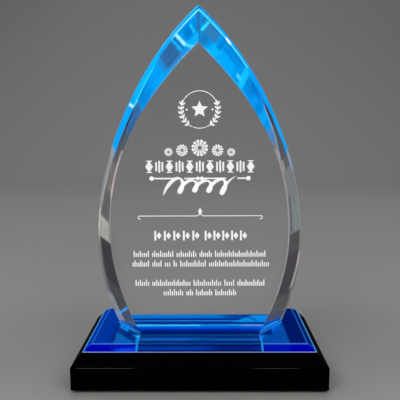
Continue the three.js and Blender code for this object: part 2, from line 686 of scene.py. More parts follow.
@dataclass(frozen=True)
class PaintedLightPatch:
    """A soft-edged slanted patch of painted light in a bevel. Across runs 0 at the front face to 1
    at the girdle, along runs 0 at the foot through 0.5 at the widest to 1 at the tip. Slope
    is how far along the patch climbs from one side to the other, lean how far across it
    moves on its way up, and blur the softness of its edges each way."""

    side: Side
    colour: str
    across: tuple[float, float]
    along: tuple[float, float]
    blur: tuple[float, float]
    cover: float
    slope: float = 0.0
    lean: float = 0.0

    def mask(self, across: np.ndarray, along: np.ndarray, sign: np.ndarray) -> np.ndarray:
        """The product of four soft steps, one to an edge of the slanted patch.

        Args:
            across: place across the bevel.
            along: place along it.
            sign: -1 on the left, 1 on the right.

        Returns:
            How much of the patch shows, from 0 to 1.
        """
        middle = sum(self.along) / 2
        u = across - self.lean * (along - middle)
        v = along - self.slope * (across - 0.5)
        inside = smooth_step(u, self.across[0], self.blur[0]) * smooth_step(
            -u, -self.across[1], self.blur[0]
        )
        inside = inside * smooth_step(v, self.along[0], self.blur[1])
        inside = inside * smooth_step(-v, -self.along[1], self.blur[1])
        if self.side is not Side.BOTH:
            inside = inside * (sign == self.side.value)
        return inside * self.cover


@dataclass(frozen=True)
class PaintedLightLayers:
    """Patches of painted light laid over a painted ground, one after another, and written to a
    mesh. Where the cover reaches untinted_from, the plastic's own tint gives way to a share of
    the painted light."""

    patches: tuple[PaintedLightPatch, ...]
    ground: str
    ground_cover: float
    plastic: tuple[float, float, float] = (1.0, 1.0, 1.0)
    gain: float = 0.85
    full_cover: float = 0.985
    untinted_from: float = 0.9
    tint_share: float = 0.3

    @classmethod
    def of(cls, rows: tuple, ground: str, ground_cover: float, **settings: object) -> "PaintedLightLayers":
        """Painted light from rows of patch values, each in the order of the patch's fields."""
        return cls(tuple(PaintedLightPatch(*row) for row in rows), ground, ground_cover, **settings)

    def lay(
        self,
        mesh: bpy.types.Mesh,
        across: np.ndarray,
        along: np.ndarray,
        sign: np.ndarray,
        clear: np.ndarray | float,
        map_size: tuple[float, float],
    ) -> None:
        """Blends the painted colour and cover towards each patch by its mask, then writes glow (colour
        times cover, the painted light), tint (from the plastic's own to a third of the colour) and
        clarity.

        Args:
            mesh: where the attributes go, one value to a point.
            across: each point's place across.
            along: its place along.
            sign: its side, -1 or 1.
            clear: 1 where nothing is laid.
            map_size: what the map divides across and along by.
        """
        colour = np.tile(np.array(linear(self.ground)), (len(across), 1))
        cover = np.full(len(across), self.ground_cover)
        for patch in self.patches:
            mask = patch.mask(across, along, sign)
            colour += (np.array(linear(patch.colour)) - colour) * mask[:, None]
            cover += (self.full_cover - cover) * mask
        cover *= 1 - clear
        full = np.clip(cover / self.untinted_from, 0, 1)[:, None]
        ones = np.ones((len(across), 1))
        glow = colour * cover[:, None] * self.gain
        tint = (1 - full) * np.array(self.plastic) + full * colour * self.tint_share
        for name, values in (("glow", glow), ("tint", tint)):
            layer = mesh.attributes.new(name, "FLOAT_COLOR", "POINT")
            layer.data.foreach_set("color", np.hstack([values, ones]).ravel())
        mesh.attributes.new("clarity", "FLOAT", "POINT").data.foreach_set("value", 1 - cover)
        corner = np.zeros(len(mesh.loops), int)
        mesh.loops.foreach_get("vertex_index", corner)
        place = np.c_[across * sign / map_size[0], along / map_size[1]]
        mesh.uv_layers.new(name="light_uv").uv.foreach_set("vector", place[corner].ravel())


LEFT, RIGHT, BOTH = Side.LEFT, Side.RIGHT, Side.BOTH
WIDE = (-0.5, 1.5)

# The painted light in the bevels, painted highlights, reflections and shade, laid one over
# another from the foot up: side, colour, across, along, blur, cover, and slope and lean
# where there are any.
PAINTED_BEVEL_LIGHT = (
    # painted smoky shade in the lower half, down to the painted reflection of the plate
    (LEFT, "47484c", (-0.04, 0.86), (0.02, 0.474), (0.05, 0.01), 0.95, 0.012),
    (LEFT, "393a3e", (0.0, 0.7), (0.26, 0.47), (0.05, 0.03), 0.9, 0.012),
    (RIGHT, "4d4d51", (0.02, 0.88), (0.02, 0.505), (0.05, 0.01), 0.95),
    (RIGHT, "434447", (0.05, 0.78), (0.2, 0.41), (0.05, 0.02), 0.9),
    (RIGHT, "585858", (0.0, 1.2), (0.06, 0.19), (0.05, 0.03), 0.7, -0.05),
    (LEFT, "6c6c72", (0.8, 1.2), (0.1, 0.46), (0.1, 0.03), 0.8, 0.0, 0.5),
    (BOTH, "4a5668", (-0.2, 0.1), (0.02, 0.13), (0.05, 0.02), 0.9),
    (LEFT, "8b8e98", (0.62, 1.2), (0.02, 0.19), (0.05, 0.02), 0.9, 0.0, 0.7),
    (RIGHT, "a3a09f", (0.79, 0.93), (0.22, 0.39), (0.05, 0.02), 0.9, 0.0, 1.0),
    (RIGHT, "b9a9a6", (0.86, 0.97), (0.33, 0.4), (0.04, 0.02), 0.9, 0.0, 1.0),
    (LEFT, "3f9de6", (0.02, 0.97), (0.099, 0.112), (0.05, 0.003), 0.95, -0.115),
    (LEFT, "0a9ce6", (0.00, 0.22), (0.103, 0.112), (0.04, 0.003), 1.0, -0.115),
    (RIGHT, "43506a", (-0.1, 0.9), (0.055, 0.095), (0.05, 0.012), 0.8, -0.03),
    (LEFT, "08257c", (-0.1, 0.8), (-0.1, 0.04), (0.05, 0.01), 0.95, -0.03),
    (RIGHT, "0a4aa4", (-0.1, 0.92), (-0.1, 0.056), (0.05, 0.008), 0.95, -0.05),
    (RIGHT, "0476ec", (-0.1, 0.94), (-0.1, 0.036), (0.05, 0.006), 0.95, -0.03),
    (RIGHT, "30a6fa", (0.05, 0.7), (0.03, 0.036), (0.05, 0.002), 0.8, -0.03),
    (BOTH, "06338c", (-0.1, 1.2), (-0.1, 0.018), (0.05, 0.003), 0.9),
    (BOTH, "1c98ee", (-0.1, 1.2), (0.016, 0.023), (0.05, 0.0025), 0.95),
    # painted greys over the widest point
    (LEFT, "5f6264", (0.0, 0.84), (0.54, 0.625), (0.06, 0.01), 0.95, 0.02),
    (LEFT, "756f70", (0.0, 0.6), (0.62, 0.7), (0.06, 0.012), 0.95),
    (LEFT, "58585d", (0.08, 0.56), (0.685, 0.74), (0.06, 0.008), 0.95),
    (RIGHT, "777d80", (0.04, 0.92), (0.505, 0.668), (0.06, 0.008), 0.95),
    (RIGHT, "7d8485", (0.28, 0.9), (0.505, 0.575), (0.06, 0.008), 0.9),
    (RIGHT, "606365", (0.08, 0.24), (0.505, 0.6), (0.04, 0.01), 0.9),
    (RIGHT, "5c5b62", (0.28, 0.8), (0.665, 0.76), (0.08, 0.006), 0.95),
    (LEFT, "a2a49e", (0.1, 0.84), (0.474, 0.54), (0.05, 0.004), 1.0, 0.012),
    (LEFT, "b4b5ae", (0.18, 0.8), (0.531, 0.536), (0.05, 0.002), 0.9, 0.022),
    (LEFT, "979ea8", (0.62, 0.8), (0.57, 0.695), (0.05, 0.02), 0.95, 0.0, -1.0),
    (LEFT, "cfc8bd", (0.82, 0.94), (0.5, 0.565), (0.04, 0.01), 0.95, 0.0, -1.4),
    (LEFT, "b3a898", (0.86, 1.0), (0.465, 0.51), (0.04, 0.01), 0.9, 0.0, -1.0),
    (LEFT, "c4b2b4", (-0.12, 0.07), (0.6, 0.705), (0.04, 0.012), 0.9),
    # painted azure, and the painted light it gives way to on the inner side
    (BOTH, "0091e4", WIDE, (0.76, 1.5), (0.05, 0.01), 1.0),
    (LEFT, "4d5866", (-0.5, 0.52), (0.715, 0.775), (0.03, 0.012), 1.0, -0.02),
    (LEFT, "33669e", (-0.5, 0.5), (0.757, 0.822), (0.03, 0.008), 1.0, -0.02),
    (LEFT, "2b3144", (0.355, 0.7), (0.744, 0.806), (0.03, 0.006), 1.0, 0.0, 2.7),
    (LEFT, "4c515d", (0.3, 0.7), (0.715, 0.765), (0.04, 0.008), 0.9, 0.0, 2.7),
    (RIGHT, "737980", (-0.5, 0.6), (0.7, 0.73), (0.05, 0.01), 0.9, -0.05),
    (RIGHT, "4a86c4", (-0.5, 0.6), (0.722, 0.752), (0.05, 0.012), 1.0, -0.05),
    (RIGHT, "33465a", (0.5, 1.4), (0.744, 0.828), (0.02, 0.005), 1.0, 0.0, 3.1),
    (RIGHT, "50545c", (0.33, 1.5), (0.69, 0.762), (0.04, 0.006), 1.0, 0.0, 5.0),
    (RIGHT, "8fa3b8", (0.16, 0.26), (0.7, 0.745), (0.04, 0.008), 0.8, 0.0, 6.7),
    (RIGHT, "b4cedd", (0.458, 0.5), (0.745, 0.815), (0.02, 0.006), 0.9, 0.0, 3.1),
    (RIGHT, "38b6ee", (0.655, 0.7), (0.815, 0.872), (0.02, 0.006), 0.8, 0.0, 3.1),
    # deeper and lighter painted bands across the azure
    (LEFT, "0080d2", (-0.2, 0.6), (0.822, 0.85), (0.05, 0.008), 0.9, -0.04),
    (LEFT, "009df2", (-0.2, 0.74), (0.862, 0.9), (0.05, 0.01), 0.8, -0.05),
    (RIGHT, "0084da", (-0.2, 0.72), (0.805, 0.868), (0.04, 0.004), 0.9, -0.03),
    (RIGHT, "0570c8", (0.36, 0.68), (0.824, 0.852), (0.05, 0.006), 0.9, 0.03),
    (RIGHT, "0398f2", (-0.2, 0.45), (0.822, 0.84), (0.05, 0.005), 0.8, -0.03),
    (RIGHT, "02a6fa", (-0.2, 0.46), (0.78, 0.8), (0.05, 0.006), 0.8, -0.03),
    (RIGHT, "00a4fa", (-0.1, 0.45), (0.895, 0.93), (0.08, 0.008), 0.9, -0.05),
    (RIGHT, "04b2f8", (0.02, 0.42), (0.934, 0.956), (0.08, 0.006), 0.9, -0.05),
    (RIGHT, "0085d6", (0.45, 0.84), (0.885, 0.935), (0.08, 0.008), 0.8),
    (RIGHT, "007fd0", (0.3, 0.84), (0.94, 0.95), (0.06, 0.003), 0.9, -0.04),
    # painted slate light in the facets below the tip
    (LEFT, "2c6299", (0.1, 0.8), (0.908, 0.944), (0.03, 0.004), 1.0, -0.04),
    (LEFT, "3684c6", (-0.1, 0.14), (0.905, 0.95), (0.05, 0.008), 0.8, -0.05),
    (LEFT, "2574b4", (0.15, 0.8), (0.898, 0.908), (0.05, 0.005), 0.7, -0.04),
    (RIGHT, "2b76b2", (0.36, 0.8), (0.956, 0.984), (0.03, 0.003), 1.0, -0.034),
    (RIGHT, "1c6fb0", (-0.2, 0.36), (0.97, 0.984), (0.05, 0.004), 0.7, -0.03),
    # painted light in the outer strips
    (LEFT, "02a3fa", (0.505, 1.2), (0.702, 0.815), (0.02, 0.004), 1.0),
    (LEFT, "08b0fa", (0.63, 1.5), (0.81, 0.898), (0.03, 0.004), 1.0, 0.0, 2.5),
    (LEFT, "04a2f8", (0.8, 1.2), (0.89, 0.945), (0.03, 0.006), 1.0),
    (RIGHT, "029ff8", (0.735, 1.2), (0.69, 0.868), (0.02, 0.004), 1.0),
    (RIGHT, "0494e6", (0.93, 1.2), (0.868, 1.2), (0.02, 0.006), 1.0),
    (LEFT, "7a9cc2", (0.52, 0.92), (0.688, 0.702), (0.04, 0.004), 0.8),
    (RIGHT, "84a2c2", (0.78, 0.98), (0.65, 0.69), (0.05, 0.008), 0.9),
    # painted light in the facets of the fold at the tip
    (BOTH, "1f6aa4", (-0.2, 1.2), (0.9955, 1.2), (0.05, 0.001), 0.9),
    (LEFT, "0079ca", (0.28, 0.74), (0.968, 0.984), (0.04, 0.003), 1.0, -0.03),
    (LEFT, "0083d4", (0.4, 0.72), (0.989, 0.996), (0.04, 0.001), 0.9, -0.02),
    (LEFT, "08a8f2", (-0.1, 0.26), (0.955, 0.99), (0.05, 0.004), 0.9, -0.06),
    (RIGHT, "2a6ea6", (0.58, 0.8), (0.9885, 0.9955), (0.04, 0.001), 0.9, -0.02),
    # painted highlights: crisp streaks and rims
    (LEFT, "2fd6fc", (0.615, 0.7), (0.822, 0.878), (0.025, 0.006), 0.9, 0.0, 2.5),
    (LEFT, "36dcf8", (0.5, 0.62), (0.806, 0.822), (0.03, 0.004), 0.9),
    (LEFT, "d4f6fc", (0.57, 0.93), (0.803, 0.8075), (0.04, 0.0015), 1.0, -0.036),
    (LEFT, "0272bc", (0.2, 0.82), (0.9495, 0.9545), (0.03, 0.001), 1.0, -0.044),
    (LEFT, "18b4f4", (0.22, 0.82), (0.9455, 0.949), (0.04, 0.0015), 1.0, -0.045),
    (LEFT, "a0f6fe", (0.24, 0.84), (0.9558, 0.9605), (0.03, 0.0015), 1.0, -0.0435),
    (LEFT, "50d6fa", (-0.05, 0.25), (0.9495, 0.954), (0.02, 0.002), 1.0, -0.07),
    (LEFT, "1cc4f6", (0.33, 0.66), (0.984, 0.9875), (0.04, 0.001), 0.9, -0.03),
    (LEFT, "6ce2fa", (0.815, 0.88), (0.935, 1.2), (0.02, 0.01), 1.0),
    (LEFT, "38c0f2", (0.95, 1.2), (0.885, 1.2), (0.02, 0.01), 0.9),
    (LEFT, "19a9f0", (0.965, 1.2), (0.7, 0.885), (0.02, 0.01), 0.7),
    (RIGHT, "0cbefc", (0.03, 0.78), (0.868, 0.882), (0.03, 0.003), 1.0, -0.028),
    (RIGHT, "3cd6fc", (0.16, 0.32), (0.88, 0.892), (0.03, 0.004), 0.9, -0.03),
    (RIGHT, "36daff", (0.36, 0.8), (0.985, 0.9892), (0.03, 0.0012), 1.0, -0.0415),
    (RIGHT, "4cd8f8", (0.835, 0.915), (0.866, 1.2), (0.02, 0.005), 0.95),
    (RIGHT, "f0fdff", (0.83, 0.92), (0.93, 0.942), (0.025, 0.003), 1.0, -0.03),
    (BOTH, "28b0f4", (-0.2, 0.02), (0.86, 0.985), (0.015, 0.01), 0.6),
)


@dataclass
class FlameBlock:
    """The clear bevelled flame, cemented to the plate."""

    girdle: FlameOutline = FlameOutline(
        tip_height=186.4,
        tip_angle=48.5,
        tip_pull=54,
        half_width=60.7,
        upper_pull=33,
        lower_pull=23.8,
        foot_half_width=49.3,
        foot_angle=23.5,
        foot_pull=18.5,
    )
    front: FlameOutline = FlameOutline(
        tip_height=163.2,
        tip_angle=46.2,
        tip_pull=54.8,
        half_width=50,
        upper_pull=36.5,
        lower_pull=20.5,
        foot_half_width=33.7,
        foot_angle=28.6,
        foot_pull=16,
    )
    widest: float = 58.0
    bevel_depth: float = 20.3
    land: float = 0.8
    back_run: float = 3.6
    edge_radius: float = 0.35
    edge_steps: int = 4
    steps: int = 240
    bevel_columns: int = 56
    face_scale: tuple[float, float, float] = (0.9, 0.96, 1.0)
    face_shift: tuple[float, float, float] = (0.0, 2.0, 0.0)
    sharp_from: float = 20.0
    unlit_foot: float = 0.003

    def __post_init__(self) -> None:
        """Reads the block's place from the CAD."""
        self.box = node_box("flame_body")
        self.foot = node_box("blue_plate")[1][2] + SEAM
        self.base = self.box[0][2]

    def sides(self) -> list[np.ndarray]:
        """The right-hand side outlines, the back one drawn in square to the girdle: point +
        run times the curve's inward normal.

        Returns:
            The front, girdle, land and back outlines.
        """
        front = self.front.side(self.widest, self.steps)
        girdle = self.girdle.side(self.widest, self.steps)
        way = np.gradient(girdle, axis=0)
        way /= np.linalg.norm(way, axis=1)[:, None]
        back = girdle + self.back_run * np.c_[-way[:, 1], way[:, 0]]
        back[0] = (girdle[0, 0] - self.back_run / way[0, 1], 0)
        back[-1] = (0, girdle[-1, 1] - self.back_run / abs(way[-1, 0]))
        return [front, girdle, girdle, back]

    def depths(self) -> np.ndarray:
        """Y of the front, girdle, land and back outlines."""
        y = self.box[0][1]
        return np.array(
            [y, y + self.bevel_depth, y + self.bevel_depth + self.land, self.box[1][1]]
        )

    def footprint(self) -> np.ndarray:
        """Where the block stands.

        Returns:
            The foot's eight corners, anticlockwise from above, as plane points.
        """
        half = [side[0, 0] for side in self.sides()]
        right = np.c_[half, self.depths()]
        return np.vstack([right, (right * (-1, 1))[::-1]])

    def build(self) -> bpy.types.Object:
        """Lofts the block. Each ring is the straight blend of two outlines, with parabolas
        easing the edges between the faces; the faces at front and back are strips across.

        Returns:
            The piece, dressed.
        """
        sides = np.array([np.c_[s, np.full(len(s), y)] for s, y in zip(self.sides(), self.depths())])
        # lines within the flat faces stand in for them, so that their edges are eased too
        within = sides[[0, 3]] * self.face_scale + self.face_shift
        path = np.array([within[0], *sides, within[1]])
        eased = [
            rounded_corners(path[:, i], self.edge_radius, self.edge_steps)[1:-1]
            for i in range(path.shape[1])
        ]
        rows = np.array(eased).transpose(1, 0, 2)
        k = self.edge_steps + 1
        share = np.linspace(0, 1, self.bevel_columns + 1)[1:-1, None, None]
        bevel = rows[k - 1] * (1 - share) + rows[k] * share
        rows = np.concatenate([rows[:k], bevel, rows[k:]])
        rows[:, -1, 0] = 0
        rows[:, 0, 1] = 0
        rings = np.concatenate([rows * (-1, 1, 1), rows[:, -2::-1]], axis=1)[:, :, [0, 2, 1]]
        rings[:, :, 2] += self.base
        rings[:, [0, -1], 2] = self.foot
        count, ring_count = rings.shape[1], rings.shape[0]
        skin = ring_faces(ring_count, count)
        half = (count + 1) // 2
        i = np.arange(half - 2)
        cap = np.stack([i, i + 1, count - 2 - i, count - 1 - i], axis=-1)
        tip = [half - 2, half - 1, half]
        last = (ring_count - 1) * count
        faces = [*skin, *cap[:, ::-1], tip[::-1], *(cap + last), [v + last for v in tip]]
        column = np.tile(np.arange(count), ring_count - 1)
        ring = np.repeat(np.arange(ring_count - 1), count)
        bevel_part = (ring < k - 1 + self.bevel_columns) & (column != count - 1)
        slots = np.zeros(len(faces), int)
        slots[: len(skin)] = np.where(column == count - 1, 2, np.where(bevel_part, 1, 0))
        flat = np.zeros(len(faces), bool)
        flat[: len(skin)] = column != count - 1
        materials = [
            CastAcrylic("cast_acrylic_clear", "fbfbfb").build(),
            # the bevels' finish carries the painted light
            PaintedLightAcrylic("cast_acrylic_bevel_painted_light").build(),
            CementedFace("cemented_face_clear").build(),
        ]
        piece = write_mesh("flame", rings.reshape(-1, 3), faces, materials, slots, flat)
        piece.data.set_sharp_from_angle(angle=math.radians(self.sharp_from))
        self.lay_light(piece.data, ring_count, count, k)
        return dress(piece, "clear_acrylic", "flame_body")

    def lay_light(self, mesh: bpy.types.Mesh, ring_count: int, count: int, k: int) -> None:
        """Gives each point its place in the bevel: across by its ring's share of the bevel,
        along by its share of its side, and lays the painted light there.

        Args:
            mesh: the block's mesh.
            ring_count: how many rings it has.
            count: points in a ring.
            k: the ring at which the bevel proper starts, plus one.
        """
        half = (count + 1) // 2
        step = np.arange(count)
        along = np.where(step < half, step, count - 1 - step) / (half - 1)
        sign = np.where(step < half - 0.5, -1, 1)
        across = np.clip((np.arange(ring_count) - k + 1) / self.bevel_columns, 0, 1)
        u, v, s = np.repeat(across, count), np.tile(along, ring_count), np.tile(sign, ring_count)
        # painted light: a pale grey ground a quarter covered, and the patches over it
        light = PaintedLightLayers.of(PAINTED_BEVEL_LIGHT, ground="8a8a8c", ground_cover=0.25)
        clear = 1 - smooth_step(v, self.unlit_foot, self.unlit_foot)
        light.lay(mesh, u, v, s, clear, map_size=(1.0, 1.0))


# ---------------------------------------------------------------- blocks below


@dataclass(frozen=True)
class BlockShape:
    """An upright block: a rounded rectangle carried up a profile of (inset, height)."""

    half: tuple[float, float]
    profile: tuple[tuple[float, float], ...]
    corner: float = 0.5
    corner_steps: int = 4
    edge: float = 0.4
    edge_steps: int = 4
    centre: tuple[float, float] = (0.0, 0.0)

    def rings(self, stations: list[list[float]] | None = None) -> np.ndarray:
        """Each ring is the rectangle drawn in by the profile's inset, at its height.

        Args:
            stations: extra points along the sides, as rounded_rectangle takes them.

        Returns:
            Rings by points by 3.
        """
        ends = np.array(self.profile, float)
        inward = np.array([[min(self.half) * 0.5, 0]])
        path = np.vstack([ends[:1] + inward, ends, ends[-1:] + inward])
        rows = rounded_corners(path, self.edge, self.edge_steps)[1:-1]
        rings = []
        for inset, z in rows:
            plane = rounded_rectangle(
                np.array(self.half) - inset,
                max(self.corner - inset, 0.05) if self.corner > 1 else self.corner,
                self.corner_steps,
                stations,
            )
            rings.append(np.c_[plane + np.array(self.centre), np.full(len(plane), z)])
        return np.array(rings)

    def solid(self, name: str, materials: list[bpy.types.Material]) -> bpy.types.Object:
        """The closed block as an object of its own, its flats flat and its edges round.

        Args:
            name: the piece's name.
            materials: its materials.

        Returns:
            The object.
        """
        rings = self.rings()
        ring_count, count = rings.shape[:2]
        skin = ring_faces(ring_count, count)
        bottom = np.arange(count)[::-1]
        top = (ring_count - 1) * count + np.arange(count)
        faces = [*skin, bottom, top]
        smooth = np.zeros(len(faces), bool)
        smooth[: len(skin)] = self.eased(ring_count, count)
        return write_mesh(name, rings.reshape(-1, 3), faces, materials, 0, smooth)

    def eased(self, ring_count: int, count: int) -> np.ndarray:
        """Which skin faces lie in an eased edge or corner and are shaded round.

        Args:
            ring_count: how many rings the block has.
            count: points in a ring.

        Returns:
            One truth value to a face.
        """
        ring = np.repeat(np.arange(ring_count - 1), count)
        column = np.tile(np.arange(count), ring_count - 1)
        per_side = count // 4
        return (ring % (self.edge_steps + 1) != self.edge_steps) | (
            column % per_side != per_side - 1
        )


# The painted light in the plate, painted highlights, reflections and shade, by |x| and y in
# millimetres: the top face between y -27.8 and 27.8, the front rim below -27.8, the side rims
# beyond 59.5, the flame's foot from -16.4 to 9.
ALL_X, ALL_Y, FACE_X = (-9.0, 99.0), (-60.0, 60.0), (-9.0, 35.0)
PAINTED_PLATE_LIGHT = (
    (BOTH, "003a9c", ALL_X, ALL_Y, (1.0, 1.0), 0.75),
    (RIGHT, "000c5c", (49.5, 99.0), ALL_Y, (0.4, 1.0), 0.95),
    (LEFT, "002d94", (49.5, 99.0), ALL_Y, (0.4, 1.0), 0.9),
    (LEFT, "00207c", (47.6, 50.0), (-27.8, 3.0), (0.4, 1.0), 0.9),
    # painted light and shade that the flame's foot throws on the plate beside and before it, in slanted
    # bands
    (RIGHT, "0046a0", (35.0, 50.0), (-27.8, 10.0), (0.5, 1.0), 0.9),
    (RIGHT, "0052b6", (35.0, 48.5), (-69.0, -64.0), (1.0, 2.0), 0.8, 1.3),
    (RIGHT, "0068e2", (35.0, 48.5), (-64.0, -57.5), (1.0, 1.5), 0.95, 1.3),
    (LEFT, "0060ae", (35.0, 48.0), (-80.5, -74.0), (1.0, 1.2), 0.95, 1.3),
    (LEFT, "002c76", (35.0, 48.0), (-73.5, -66.5), (1.0, 1.2), 0.95, 1.3),
    (LEFT, "0a84e4", (35.0, 48.0), (-65.5, -60.6), (1.0, 0.8), 1.0, 1.3),
    (BOTH, "02246c", FACE_X, (-27.8, -23.6), (0.5, 0.5), 0.95),
    (BOTH, "0458b0", FACE_X, (-23.4, -21.6), (0.5, 0.6), 0.95),
    (BOTH, "033f8e", FACE_X, (-21.6, -19.2), (0.5, 0.8), 0.95),
    (BOTH, "011463", FACE_X, (-19.0, -16.4), (0.5, 0.8), 0.95),
    (RIGHT, "001f6a", (-0.5, 33.0), (-27.8, -16.4), (8.0, 0.3), 0.5),
    # painted light in the joint under the flame: cyan along its back, royal, then navy to the front
    (BOTH, "001368", (-9.0, 42.0), (-16.2, -3.0), (0.3, 2.0), 0.9),
    (BOTH, "003cd0", (-9.0, 46.0), (-3.6, 1.0), (0.3, 1.0), 0.9),
    (BOTH, "0068fa", (-9.0, 46.0), (0.4, 5.6), (0.3, 0.8), 0.95),
    (BOTH, "44e6ff", (-9.0, 46.0), (5.8, 9.0), (0.3, 0.4), 1.0),
    (RIGHT, "0a86e4", (-9.0, 46.0), (5.8, 9.0), (6.0, 0.4), 0.8),
    # painted light behind the flame: two bands, each deeper towards the front
    (BOTH, "0280dc", (-9.0, 50.0), (21.4, 28.6), (0.5, 0.9), 0.95),
    (BOTH, "0250b0", (-9.0, 50.0), (19.4, 21.2), (0.5, 0.8), 0.95),
    (BOTH, "00268a", (-9.0, 50.0), (16.9, 19.4), (0.5, 0.6), 0.95),
    (BOTH, "4098ea", (-9.0, 50.0), (15.8, 16.7), (0.5, 0.25), 0.95),
    (BOTH, "024eb2", (-9.0, 50.0), (13.8, 15.6), (0.5, 0.5), 0.95),
    (BOTH, "001b78", (-9.0, 50.0), (9.4, 13.7), (0.5, 0.6), 0.95),
    (RIGHT, "003f9a", (14.0, 50.0), (20.5, 28.6), (6.0, 1.0), 0.9),
    (RIGHT, "0494f6", (26.0, 46.0), (14.0, 26.0), (1.5, 1.0), 0.95, 0.0, 1.0),
    (RIGHT, "00347e", (30.0, 32.0), (15.0, 27.0), (0.8, 1.0), 0.7, 0.0, -0.6),
    (RIGHT, "8fa6e8", (25.0, 46.0), (6.6, 10.2), (2.0, 0.5), 0.95),
    (BOTH, "0a78cc", (6.0, 34.4), (-23.4, -22.5), (4.0, 0.3), 0.9),
    # painted light on the front rim: royal blue either side, banded under the flame
    (BOTH, "0000a4", (34.6, 99.0), (-60.0, -28.1), (0.3, 0.15), 0.95),
    (BOTH, "00034c", FACE_X, (-60.0, -28.1), (0.3, 0.15), 0.95),
    (BOTH, "0034a0", FACE_X, (-31.3, -29.4), (0.3, 0.3), 0.95),
    (RIGHT, "000a58", (6.0, 34.4), (-60.0, -29.0), (8.0, 0.3), 0.7),
    (LEFT, "0c40dc", (35.0, 46.0), (-31.4, -28.2), (2.0, 0.5), 0.9, -0.05),
    # painted highlights along the bright edges
    (BOTH, "1a70cc", (59.3, 60.0), (-27.9, 60.0), (0.2, 0.3), 0.8),
    (BOTH, "22a0f2", (63.2, 64.2), (-32.0, 60.0), (0.15, 0.3), 1.0),
    (BOTH, "4276db", (35.0, 99.0), (-28.2, -27.6), (0.4, 0.12), 0.9),
    (LEFT, "38b4f6", (34.4, 36.0), (-20.0, -16.6), (0.4, 0.8), 1.0),
    (LEFT, "0a84e2", (34.4, 35.8), (-26.5, -20.0), (0.4, 0.8), 0.9),
    (RIGHT, "0868e4", (34.4, 36.4), (-21.0, -16.6), (0.4, 0.8), 0.9),
    (BOTH, "24a0ee", (34.2, 34.9), (-32.2, -16.6), (0.15, 0.3), 1.0),
)


